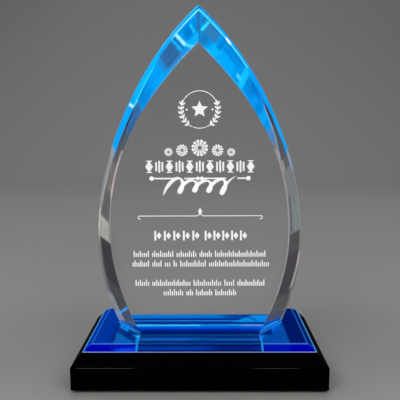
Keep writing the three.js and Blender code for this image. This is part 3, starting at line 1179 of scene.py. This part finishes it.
@dataclass
class BluePlate:
    """The transparent blue plate with its bevelled rim, and the joint on its top face."""

    bevel_run: float = 4.4
    edge: float = 0.25
    rim_rows: int = 8
    top_rows: int = 44
    joint_rows: int = 14
    spacing: float = 0.6
    face_dye: tuple[float, float, float] = (0.0, 0.36, 1.0)
    seen_silver: tuple[float, float, float] = (0.02, 0.45, 1.0)

    def stations(self, footprint: np.ndarray, middle: np.ndarray, half: np.ndarray) -> list:
        """Where points stand along the four sides: evenly, and where a ray from the middle
        through each corner of the foot comes out.

        Args:
            footprint: the foot's corners.
            middle: where the rays start.
            half: half width and half depth of the top.

        Returns:
            Four lists of shares of the half size.
        """
        marks = [list(np.linspace(-0.97, 0.97, int(2 * size / self.spacing))) for size in half]
        found = [marks[0][:], marks[1][:], marks[0][:], marks[1][:]]
        for way in footprint - middle:
            reach, axis = min(
                ((half[a] * math.copysign(1, way[a]) - middle[a]) / way[a], a)
                for a in (0, 1)
                if abs(way[a]) > 1e-9
            )
            hit = middle + way * reach
            side = (1 if way[0] > 0 else 3) if axis == 0 else (2 if way[1] > 0 else 0)
            found[side].append(float(hit[1 - axis] / half[1 - axis]))
        return found

    def build(self, footprint: np.ndarray) -> bpy.types.Object:
        """Builds the plate: rings up the rim, then the top face between its edge and the
        flame's foot. Rays from the foot's middle cross both outlines, and the points where
        each ray crosses them are joined; the foot's own patch is a fan.

        Args:
            footprint: the flame foot's corners.

        Returns:
            The piece, dressed.
        """
        low, high = node_box("blue_plate")
        low[2] += SEAM
        profile = ((0.0, low[2]), (self.bevel_run, high[2]))
        shape = BlockShape(
            (high[0], high[1]), profile, corner=0.3, corner_steps=3, edge=self.edge
        )
        middle = np.array([0.0, (footprint[:, 1].min() + footprint[:, 1].max()) / 2])
        top_half = np.array(shape.rings()[-1, :, :2].max(axis=0))
        rings = shape.rings(self.stations(footprint, middle, top_half))
        count = rings.shape[1]
        k = shape.edge_steps + 1
        share = np.linspace(0, 1, self.rim_rows + 1)[1:-1, None, None]
        rim = rings[k - 1] * (1 - share) + rings[k] * share
        outer = rings[-1]
        foot = self.cross(outer[:, :2] - middle, footprint - middle) + middle
        foot = np.c_[foot, np.full(count, high[2])]
        share = np.linspace(0, 1, self.top_rows + 1)[1:, None, None]
        top = outer * (1 - share) + foot * share
        share = np.linspace(0, 1, self.joint_rows + 1)[1:-1, None, None]
        patch = foot * (1 - share) + np.array([*middle, high[2]]) * share
        rings = np.concatenate([rings[:k], rim, rings[k:], top, patch])
        hub = rings.shape[0] * count
        points = np.vstack([rings.reshape(-1, 3), [(*middle, high[2])]])
        skin = ring_faces(len(rings), count)
        first = hub - count + np.arange(count)
        fan = np.c_[first, np.roll(first, -1), np.full(count, hub)]
        faces = [*skin, *fan, np.arange(count)[::-1]]
        slots = np.zeros(len(faces), int)
        slots[len(skin) - (self.joint_rows - 1) * count : len(skin) + count] = 1
        slots[-1] = 2
        ring = np.repeat(np.arange(len(rings) - 1), count)
        smooth = np.zeros(len(faces), bool)
        edge_top = k + self.rim_rows - 1
        smooth[: len(skin)] = (ring < k - 1) | ((ring >= edge_top) & (ring < edge_top + k - 1))
        # light crosses the joint on its way in and again on its way out, so once is the root
        dye = tuple(v**0.5 for v in self.face_dye)
        # the film is smooth and pure metal here, and the plate's skin is faint against it
        blue = PaintedLightAcrylic("blue_acrylic_painted_light", ior=1.2, specular=0.03, ripple=(26.0, 60.0))
        film = MirrorFilm(
            "mirror_film_seen_through_blue",
            tint=self.seen_silver,
            roughness=0.0,
            metallic=1.0,
            painted_edge_glow=0.0,
        )
        joint = PaintedGlowJoint("cemented_face_blue_painted_glow", tint=dye)
        materials = [blue.build(), joint.build(), film.build()]
        piece = write_mesh("plate", points, faces, materials, slots, smooth)
        x, y = points[:, 0], points[:, 1]
        # the plate's blues are painted light and shade, laid over its own dye
        light = PaintedLightLayers.of(PAINTED_PLATE_LIGHT, "003a9c", 0.0, plastic=self.face_dye, full_cover=0.9)
        sign = np.where(x < 0, -1, 1)
        light.lay(piece.data, np.abs(x), y, sign, clear=0.0, map_size=(128.0, 64.0))
        return dress(piece, "blue_acrylic", "blue_plate")

    @staticmethod
    def cross(ways: np.ndarray, polygon: np.ndarray) -> np.ndarray:
        """Where rays from the origin leave a convex polygon: along each ray, the nearest of
        its crossings with the lines through the polygon's sides.

        Args:
            ways: one direction to a ray.
            polygon: corners, anticlockwise.

        Returns:
            The crossing point of each ray.
        """
        side = np.roll(polygon, -1, axis=0) - polygon
        normal = np.c_[side[:, 1], -side[:, 0]]
        level = (normal * polygon).sum(axis=1)
        speed = ways @ normal.T
        share = np.where(speed > 1e-9, level / np.where(speed > 1e-9, speed, 1), np.inf)
        return ways * share.min(axis=1)[:, None]


@dataclass
class CementFillet:
    """The bead of cement squeezed out round the flame's foot, with painted blue light in it."""

    leg: float = 0.55
    steps: int = 4
    hollow: float = 0.16

    def build(self, footprint: np.ndarray) -> bpy.types.Object:
        """Carries a hollow-faced triangle round the foot: at each place the section runs from
        the foot's wall down to the plate, (1-t)^2 A + 2 (1-t) t B + t^2 C with B near the
        corner, and closes through the corner itself.

        Args:
            footprint: the flame foot's corners, anticlockwise.

        Returns:
            The piece, dressed.
        """
        z = node_box("blue_plate")[1][2]
        way = np.roll(footprint, -1, axis=0) - footprint
        way /= np.linalg.norm(way, axis=1)[:, None]
        normal = np.c_[way[:, 1], -way[:, 0]]
        before = np.roll(normal, 1, axis=0)
        mitre = (normal + before) / (1 + (normal * before).sum(axis=1))[:, None]
        t = np.linspace(0, 1, self.steps + 1)
        out = np.r_[t**2 + self.hollow * (1 - t) * t, 0.0] * self.leg
        up = np.r_[(1 - t) ** 2 + self.hollow * (1 - t) * t, 0.0] * self.leg
        rings = [
            np.c_[footprint + (mitre * o), np.full(len(footprint), z + SEAM + u)]
            for o, u in zip(out, up)
        ]
        count = len(footprint)
        rows = np.array([*rings, rings[0]])
        faces = ring_faces(len(rows), count) % (count * (len(rows) - 1))
        points = rows[:-1].reshape(-1, 3)
        # the bead's blue and its azure line are painted light
        glow = PaintedGlowCement("solvent_cement_bead_painted_glow").build()
        piece = write_mesh("cement_bead", points, faces[:, ::-1], [glow], 0, False)
        return dress(piece, "clear_cement", "flame_cement")


@dataclass
class BlackBase:
    """The black base, its feet, the tape on it and the mirror film's own node."""

    bevel_height: float = 6.35
    bevel_run: float = 5.9
    foot_names: tuple[str, ...] = ("front_left", "front_right", "back_left", "back_right")
    sole_share: float = 0.88
    rim_inset: float = 0.12
    rim_height: float = 0.7

    def build(self) -> None:
        """Builds the base and feet and dresses the tape and film nodes."""
        low, high = node_box("black_base")
        block = BlockShape(
            (high[0], high[1]),
            (
                (0.0, low[2]),
                (0.0, high[2] - self.bevel_height),
                (self.bevel_run, high[2]),
            ),
            corner=0.6,
            edge=0.45,
        )
        polish = BlackAcrylic("black_acrylic_buffed").build()
        dress(block.solid("base", [polish]), "black_acrylic", "black_base")
        rubber = SoftBlack("moulded_rubber", "141414", cell=0.6, depth=0.03).build()
        for place in self.foot_names:
            self.foot(place, rubber)
        tape = SoftBlack("foam_tape", "17171a").build()
        film = MirrorFilm("mirror_film_cut_edge_painted_glow").build()
        for name, material in (("mounting_tape", tape), ("mirror_backing", film)):
            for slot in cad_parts[name].material_slots:
                slot.material = material

    def foot(self, place: str, rubber: bpy.types.Material) -> None:
        """One bumper foot: a round pad that narrows to its sole, with an eased rim.

        Args:
            place: which foot.
            rubber: its material.
        """
        low, high = node_box("foot_" + place)
        radius = (high[0] - low[0]) / 2
        middle = (low + high) / 2
        pad = BlockShape(
            (radius, radius),
            (
                (radius - radius * self.sole_share, low[2]),
                (self.rim_inset, low[2] + self.rim_height),
                (0.0, high[2]),
            ),
            corner=radius,
            corner_steps=12,
            edge=0.25,
            centre=(middle[0], middle[1]),
        )
        dress(pad.solid("bumper_" + place, [rubber]), "black_rubber", "foot_" + place)


# ---------------------------------------------------------------- artwork


HAIR = 0.02  # the least width of a stroke's end, so that it stays a closed solid


@dataclass
class InkSheet:
    """Gathers flat strokes of ink, set a hair inside the front face, into one mesh. A line's
    place is given from centre on X and from foot on Z."""

    name: str
    front: float
    centre: float
    foot: float
    thickness: float = 0.06
    points: list = field(default_factory=list)
    faces: list = field(default_factory=list)
    total: int = 0

    def stroke(self, path: np.ndarray, widths: np.ndarray | float, closed: bool = False) -> None:
        """A stroke: at each point of the path its cross-section is a thin rectangle, as wide
        as the stroke there, square to the way the path runs.

        Args:
            path: n plane points, as (x, height over the foot).
            widths: the stroke's width, one number or one to a point.
            closed: whether the path runs back into its start.
        """
        path = np.asarray(path, float)
        if closed:
            way = np.roll(path, -1, axis=0) - np.roll(path, 1, axis=0)
        else:
            way = np.gradient(path, axis=0)
        way /= np.maximum(np.linalg.norm(way, axis=1), 1e-9)[:, None]
        across = np.c_[-way[:, 1], way[:, 0]] * np.broadcast_to(widths, len(path))[:, None] / 2
        left, right = path + across, path - across
        out, back = self.front + SEAM, self.front + SEAM + self.thickness
        section = [(left, out), (right, out), (right, back), (left, back)]
        rows = np.stack(
            [np.c_[p[:, 0] + self.centre, np.full(len(p), y), p[:, 1] + self.foot] for p, y in section],
            axis=1,
        )
        count = len(path)
        faces = ring_faces(count + 1 if closed else count, 4)
        if closed:
            faces = faces % (4 * count)
            ends: list = []
        else:
            last = 4 * (count - 1)
            ends = [[3, 2, 1, 0], [last, last + 1, last + 2, last + 3]]
        self.faces += [[v + self.total for v in f] for f in [*faces.tolist(), *ends]]
        self.points.append(rows.reshape(-1, 3))
        self.total += 4 * count

    def line(self, start: tuple, end: tuple, width: float, round_ends: bool = True) -> None:
        """A straight stroke, its ends rounded as half circles.

        Args:
            start: where it starts.
            end: where it ends.
            width: its width.
            round_ends: whether its ends are rounded or cut square.
        """
        start, end = np.array(start, float), np.array(end, float)
        length = np.linalg.norm(end - start)
        ease = 1 - np.cos(np.linspace(0, math.pi / 2, 6)) if round_ends else np.array([0.0])
        reach = np.minimum(ease * width / 2, length / 2)
        place = np.r_[reach, length - reach[::-1]]
        half = np.sqrt(np.maximum(1 - (1 - ease) ** 2, 0.002)) if round_ends else np.array([1.0])
        self.stroke(start + (end - start) * (place / length)[:, None], width * np.r_[half, half[::-1]])

    def leaf(self, root: tuple, way: float, length: float, width: float, belly: float = 0.5) -> None:
        """A pointed leaf or petal: its width follows the sine of pi times t to a power, which
        puts the widest place at the belly.

        Args:
            root: where it grows from.
            way: its direction in radians.
            length: root to tip.
            width: its greatest width.
            belly: where along it that is, from 0 to 1.
        """
        t = np.linspace(0, 1, 13)
        power = math.log(0.5) / math.log(belly)
        profile = np.sin(math.pi * t**power)
        path = np.array(root) + np.c_[np.cos(way), np.sin(way)] * (t * length)[:, None]
        self.stroke(path, np.maximum(width * profile, HAIR))

    def dot(self, middle: tuple, radius: float) -> None:
        """A round dot: a stroke across it as wide as the circle is at each place.

        Args:
            middle: its middle.
            radius: its radius.
        """
        turn = np.linspace(0, math.pi, 17)
        path = np.array(middle) + np.c_[-np.cos(turn), np.zeros(17)] * radius
        self.stroke(path, np.maximum(2 * radius * np.sin(turn), HAIR))

    def arc(self, middle: tuple, radius: float, start: float, end: float, width: float) -> None:
        """A stroke along part of a circle.

        Args:
            middle: the circle's middle.
            radius: its radius.
            start: angle of the start in degrees.
            end: angle of the end.
            width: the stroke's width.
        """
        turn = np.radians(np.linspace(start, end, max(int(abs(end - start) / 3), 8)))
        path = np.array(middle) + radius * np.c_[np.cos(turn), np.sin(turn)]
        self.stroke(path, width)

    def build(self, ink: bpy.types.Material) -> bpy.types.Object:
        """Writes the gathered strokes as one piece.

        Args:
            ink: the ink's material.

        Returns:
            The piece, dressed.
        """
        piece = write_mesh(self.name, np.vstack(self.points), self.faces, [ink])
        piece.visible_glossy = False
        return dress(piece)


@dataclass
class Artwork:
    """White screen print on the front face: ornament only, with plain bars for wording.
    The ring is its middle's height, radius and line width; a rosette is its x, height and
    radius; a line is its height, where it starts and how wide each word is."""

    centre: float = 0.6
    ring: tuple[float, float, float] = (127.7, 9.95, 0.42)
    rosettes: tuple[tuple[float, float, float], ...] = (
        (-17.1, 104.9, 2.2),
        (-9.7, 105.8, 3.15),
        (0.0, 107.1, 4.5),
        (9.7, 105.7, 3.15),
        (17.1, 104.7, 2.2),
    )
    lines: tuple[tuple[float, float, tuple[float, ...]], ...] = (
        (45.6, -37.7, (9.1, 12.4, 11.6, 7.3, 28.8)),
        (40.0, -38.4, (9.7, 5.8, 3.6, 2.4, 15.0, 34.1)),
        (28.8, -37.0, (8.2, 22.0, 16.1, 6.1, 15.7)),
        (23.2, -21.2, (11.6, 4.2, 9.6, 12.3)),
    )

    def sheet(self, name: str) -> InkSheet:
        """An empty sheet of ink on the front face."""
        return InkSheet(name, node_box("flame_body")[0][1], self.centre, node_box("blue_plate")[1][2])

    def build(self) -> None:
        """Builds every piece of the print."""
        ink = ScreenInk("screen_ink_white_painted_glow").build()
        for name, draw in (
            ("print_wreath", self.wreath),
            ("print_rosettes", self.rosette_row),
            ("print_frieze", self.frieze),
            ("print_rule", self.rule),
            ("print_swash", self.swash),
            ("print_divider", self.divider),
            ("print_name_bars", self.name_bars),
            ("print_wording_bars", self.wording_bars),
        ):
            sheet = self.sheet(name)
            draw(sheet)
            sheet.build(ink)

    def wreath(self, sheet: InkSheet) -> None:
        """A thin ring, open where two laurel sprays climb it, round a five-pointed star.

        Args:
            sheet: the ink it is drawn on.
        """
        z, radius, width = self.ring
        sheet.arc((0, z), radius, 23, 157, width)
        sheet.arc((0, z), radius, 250, 290, width)
        for sign in (-1, 1):
            sheet.arc((0, z), radius, 90 + sign * 70, 90 + sign * 157, width)
            for place in np.linspace(166, 234, 6):
                a = math.radians(90 + sign * (place - 90))
                root = (radius * math.cos(a), z + radius * math.sin(a))
                along = a - sign * math.pi / 2
                for tilt in (-0.75, 0.75):
                    sheet.leaf(root, along + tilt, 2.5, 1.05)
            a = math.radians(90 + sign * 72)
            sheet.leaf((radius * math.cos(a), z + radius * math.sin(a)), a - sign * 1.4, 2.2, 1.0)
        # the star's five arms are lozenges, widest at its inner corners
        reach, waist = 4.6, 0.382
        widest = 2 * waist * reach * math.tan(math.radians(36))
        t = np.array([0.0, waist, 1.0])
        for point in range(5):
            way = math.radians(90 + 72 * point)
            path = np.array([0.0, z + 0.1]) + np.c_[np.cos(way), np.sin(way)] * (t * reach)[:, None]
            sheet.stroke(path, np.array([HAIR, widest, HAIR]))
        for x in (-7.0, 7.0):
            sheet.dot((x, z), 0.55)

    def rosette_row(self, sheet: InkSheet) -> None:
        """Five rosettes of twelve wedge petals round an open middle.

        Args:
            sheet: the ink it is drawn on.
        """
        for x, z, radius in self.rosettes:
            for petal in range(12):
                way = math.radians(15 + 30 * petal)
                t = np.array([0.24, 0.6, 0.9, 1.0])
                path = np.array([x, z]) + np.c_[np.cos(way), np.sin(way)] * (t * radius)[:, None]
                sheet.stroke(path, radius * np.array([0.08, 0.22, 0.36, 0.26]))

    def frieze(self, sheet: InkSheet) -> None:
        """A heading band: lozenges and groups of three upright bars by turns.

        Args:
            sheet: the ink it is drawn on.
        """
        low, high = 93.6, 100.2
        middle = (low + high) / 2
        for cell in range(11):
            x = -27.8 + 5.56 * cell
            if cell % 2:
                for offset, reach in ((-1.7, 2.6), (0.0, 3.3), (1.7, 2.6)):
                    sheet.line((x + offset, middle - reach), (x + offset, middle + reach), 1.0)
                continue
            path = [(x, low), (x, middle), (x, high)]
            sheet.stroke(np.array(path), np.array([0.05, 4.2, 0.05]))
            for z in (low + 0.25, high - 0.25):
                sheet.line((x - 1.6, z), (x + 1.6, z), 0.55)

    def rule(self, sheet: InkSheet) -> None:
        """A broken rule with beads at its ends and a pair at its middle.

        Args:
            sheet: the ink it is drawn on.
        """
        z = 90.4
        for start, end in ((-26.6, -14.6), (-8.6, 14.4), (20.6, 26.6)):
            sheet.line((start, z), (end, z), 0.8, round_ends=False)
        for x, radius in ((-26.6, 1.25), (26.6, 1.25), (-1.1, 1.0), (1.1, 1.0)):
            sheet.dot((x, z), radius)

    def swash(self, sheet: InkSheet) -> None:
        """A pen swash: a row of leaning loops, x = drift + r sin, z = r cos, that are wide at
        both ends, with the width of a broad nib: thick on the way down and thin on the way
        up.

        Args:
            sheet: the ink it is drawn on.
        """
        t = np.linspace(0, 1, 361)
        swell = 2.9 + 2.4 * (2 * t - 1) ** 2
        turn = 2 * math.pi * 4.5 * t
        z = 86.2 - swell * np.cos(turn)
        x = -17.6 + 35.4 * t + 0.45 * (z - 86.2) - 2.1 * np.sin(turn)
        path = np.c_[x, z]
        way = np.gradient(path, axis=0)
        angle = np.arctan2(way[:, 1], way[:, 0])
        nib = 0.95 + 1.1 * np.abs(np.sin(angle + math.radians(25)))
        taper = np.clip(np.minimum(t, 1 - t) * 16, 0.08, 1)
        sheet.stroke(path, nib * taper)

    def divider(self, sheet: InkSheet) -> None:
        """A fine rule that curls under at its ends and rises to a drop at its middle.

        Args:
            sheet: the ink it is drawn on.
        """
        z, reach, width = 69.5, 33.6, 0.42
        for sign in (-1, 1):
            sheet.line((sign * 2.4, z), (sign * reach, z), width, round_ends=False)
            sheet.arc((sign * reach, z - 0.85), 0.85, 90, 90 - sign * 215, width * 1.1)
            rise = cubic_curve([(2.4, z), (1.2, z), (0.6, z + 0.5), (0.15, z + 1.2)], 12)
            sheet.stroke(rise * (sign, 1), width)
        sheet.leaf((0.0, z + 0.8), math.pi / 2, 3.8, 2.0, belly=0.42)

    def name_bars(self, sheet: InkSheet) -> None:
        """Two runs of upright bars and small lozenges where a name would be.

        Args:
            sheet: the ink it is drawn on.
        """
        low, high = 55.5, 61.2
        cells = 5
        for start, width in ((-26.4, 26.6), (1.9, 24.6)):
            pitch = width / cells
            for cell in range(cells):
                x = start + pitch * (cell + 0.5)
                sheet.line((x - 1.35, low), (x - 1.35, high), 1.05)
                path = [(x + 0.75, low + 0.9), (x + 0.75, (low + high) / 2), (x + 0.75, high - 0.9)]
                sheet.stroke(np.array(path), np.array([0.05, 2.7, 0.05]))

    def wording_bars(self, sheet: InkSheet) -> None:
        """Four lines of wording as runs of short upright ticks, a tall one now and then.

        Args:
            sheet: the ink it is drawn on.
        """
        pitch, low_share = 1.12, 0.66
        tall = (True, False, False, True, False, False, False, True, False)
        turn = 0
        for low, start, words in self.lines:
            x = start
            for width in words:
                ticks = max(round(width / pitch), 2)
                for tick in range(ticks):
                    place = x + (tick + 0.5) * width / ticks
                    rise = 3.7 * (1.0 if tall[turn % len(tall)] else low_share)
                    sheet.line((place, low + 0.5), (place, low + 0.5 + rise), 0.6)
                    turn += 1
                x += width + 1.3


# ---------------------------------------------------------------- studio


WARM = (1.0, 0.8, 0.5)


@dataclass(frozen=True)
class SoftLight:
    """One rectangular area light: place, target and size in millimetres, power in watts."""

    name: str
    place: tuple[float, float, float]
    target: tuple[float, float, float]
    size: tuple[float, float]
    power: float
    seen_in_gloss: bool = True
    colour: tuple[float, float, float] = (1.0, 1.0, 1.0)

    def build(self) -> None:
        """Adds the lamp, its -Z axis at the target."""
        lamp = bpy.data.lights.new(self.name, "AREA")
        lamp.shape = "RECTANGLE"
        lamp.size, lamp.size_y = (value * MM for value in self.size)
        lamp.energy = self.power
        lamp.color = self.colour
        holder = bpy.data.objects.new(self.name, lamp)
        bpy.context.scene.collection.objects.link(holder)
        holder.location = Vector(self.place) * MM
        aim = Vector(self.target) - Vector(self.place)
        holder.rotation_euler = aim.to_track_quat("-Z", "Y").to_euler()
        holder.visible_glossy = self.seen_in_gloss


@dataclass
class Studio:
    """A plain paper sweep, soft lights and the camera."""

    lens: float = 47.86
    sensor: float = 36.0
    camera_place: tuple[float, float, float] = (4.13, -307.05, 145.02)
    camera_pitch: float = 8.33
    camera_yaw: float = -0.70
    camera_roll: float = 0.32
    sweep_start: float = 900.0
    sweep_radius: float = 700.0
    half_width: float = 3000.0
    wall_height: float = 3500.0
    room: tuple[float, float, float] = (0.01, 0.01, 0.01)
    bounces: int = 32
    lights: tuple[SoftLight, ...] = (
        SoftLight("key_left", (-900, -900, 1300), (0, 0, 80), (900, 900), 16.0, False),
        SoftLight("key_right", (900, -900, 1300), (0, 0, 80), (900, 900), 13.0, False),
        SoftLight("overhead", (0, 500, 1700), (0, 200, 0), (1500, 900), 18.0, False),
        SoftLight("strip_left", (-333, -740, 560), (0, 0, 20), (190, 60), 0.75, True, WARM),
        SoftLight("strip_right", (236, -740, 560), (0, 0, 20), (150, 60), 0.52, True, WARM),
        SoftLight("front_fill", (0, -1300, 500), (0, 0, 0), (1400, 400), 2.5, False),
        SoftLight("back_panel", (-500, 1400, 900), (0, 0, 60), (900, 500), 0.6, False),
    )

    def build(self) -> None:
        """Builds the stage, the lights, the world and the camera, and lets light through many
        faces of clear plastic."""
        self.sweep()
        for light in self.lights:
            light.build()
        world = bpy.data.worlds.new("studio")
        bpy.context.scene.world = world
        world.use_nodes = True
        world.node_tree.nodes["Background"].inputs[0].default_value = (*self.room, 1)
        self.camera()
        scene = bpy.context.scene
        scene.view_settings.view_transform = "Standard"
        cycles = scene.cycles
        cycles.max_bounces = cycles.transmission_bounces = self.bounces
        cycles.glossy_bounces = cycles.transparent_max_bounces = self.bounces

    def sweep(self) -> None:
        """Paper: the floor runs back, turns up over a quarter circle and goes on as a wall."""
        turn = np.linspace(-math.pi / 2, 0, 24)
        curve = np.c_[
            self.sweep_start + self.sweep_radius * np.cos(turn),
            self.sweep_radius * (1 + np.sin(turn)),
        ]
        run = np.linspace(-self.half_width, self.sweep_start, 20)[:-1]
        wall = np.linspace(self.sweep_radius, self.wall_height, 12)[1:]
        far = self.sweep_start + self.sweep_radius
        path = np.vstack([np.c_[run, run * 0], curve, np.c_[wall * 0 + far, wall]])
        left = np.c_[np.full(len(path), -self.half_width), path]
        right = np.c_[np.full(len(path), self.half_width), path]
        points = np.stack([left, right], axis=1).reshape(-1, 3)
        faces = ring_faces(len(path), 2, closed=False)
        paper = StudioPaper("grey_paper_painted_light").build()
        sheet = write_mesh("sweep", points, faces, [paper], 0, True)
        sheet.visible_glossy = False

    def camera(self) -> None:
        """The camera, level but for its pitch, yaw and roll, without depth of field."""
        data = bpy.data.cameras.new("camera")
        data.lens, data.sensor_width = self.lens, self.sensor
        data.clip_start, data.clip_end = 0.01, 50
        holder = bpy.data.objects.new("camera", data)
        bpy.context.scene.collection.objects.link(holder)
        turn = (
            Matrix.Rotation(math.radians(-self.camera_yaw), 4, "Z")
            @ Matrix.Rotation(math.radians(90 - self.camera_pitch), 4, "X")
            @ Matrix.Rotation(math.radians(-self.camera_roll), 4, "Z")
        )
        holder.matrix_world = Matrix.Translation(Vector(self.camera_place) * MM) @ turn
        bpy.context.scene.camera = holder


def main() -> None:
    """Builds the award from the base up, then the studio."""
    logging.basicConfig(level=logging.INFO, format="%(message)s")
    BlackBase().build()
    flame = FlameBlock()
    BluePlate().build(flame.footprint())
    flame.build()
    CementFillet().build(flame.footprint())
    Artwork().build()
    Studio().build()


if __name__ == "__main__":
    main()
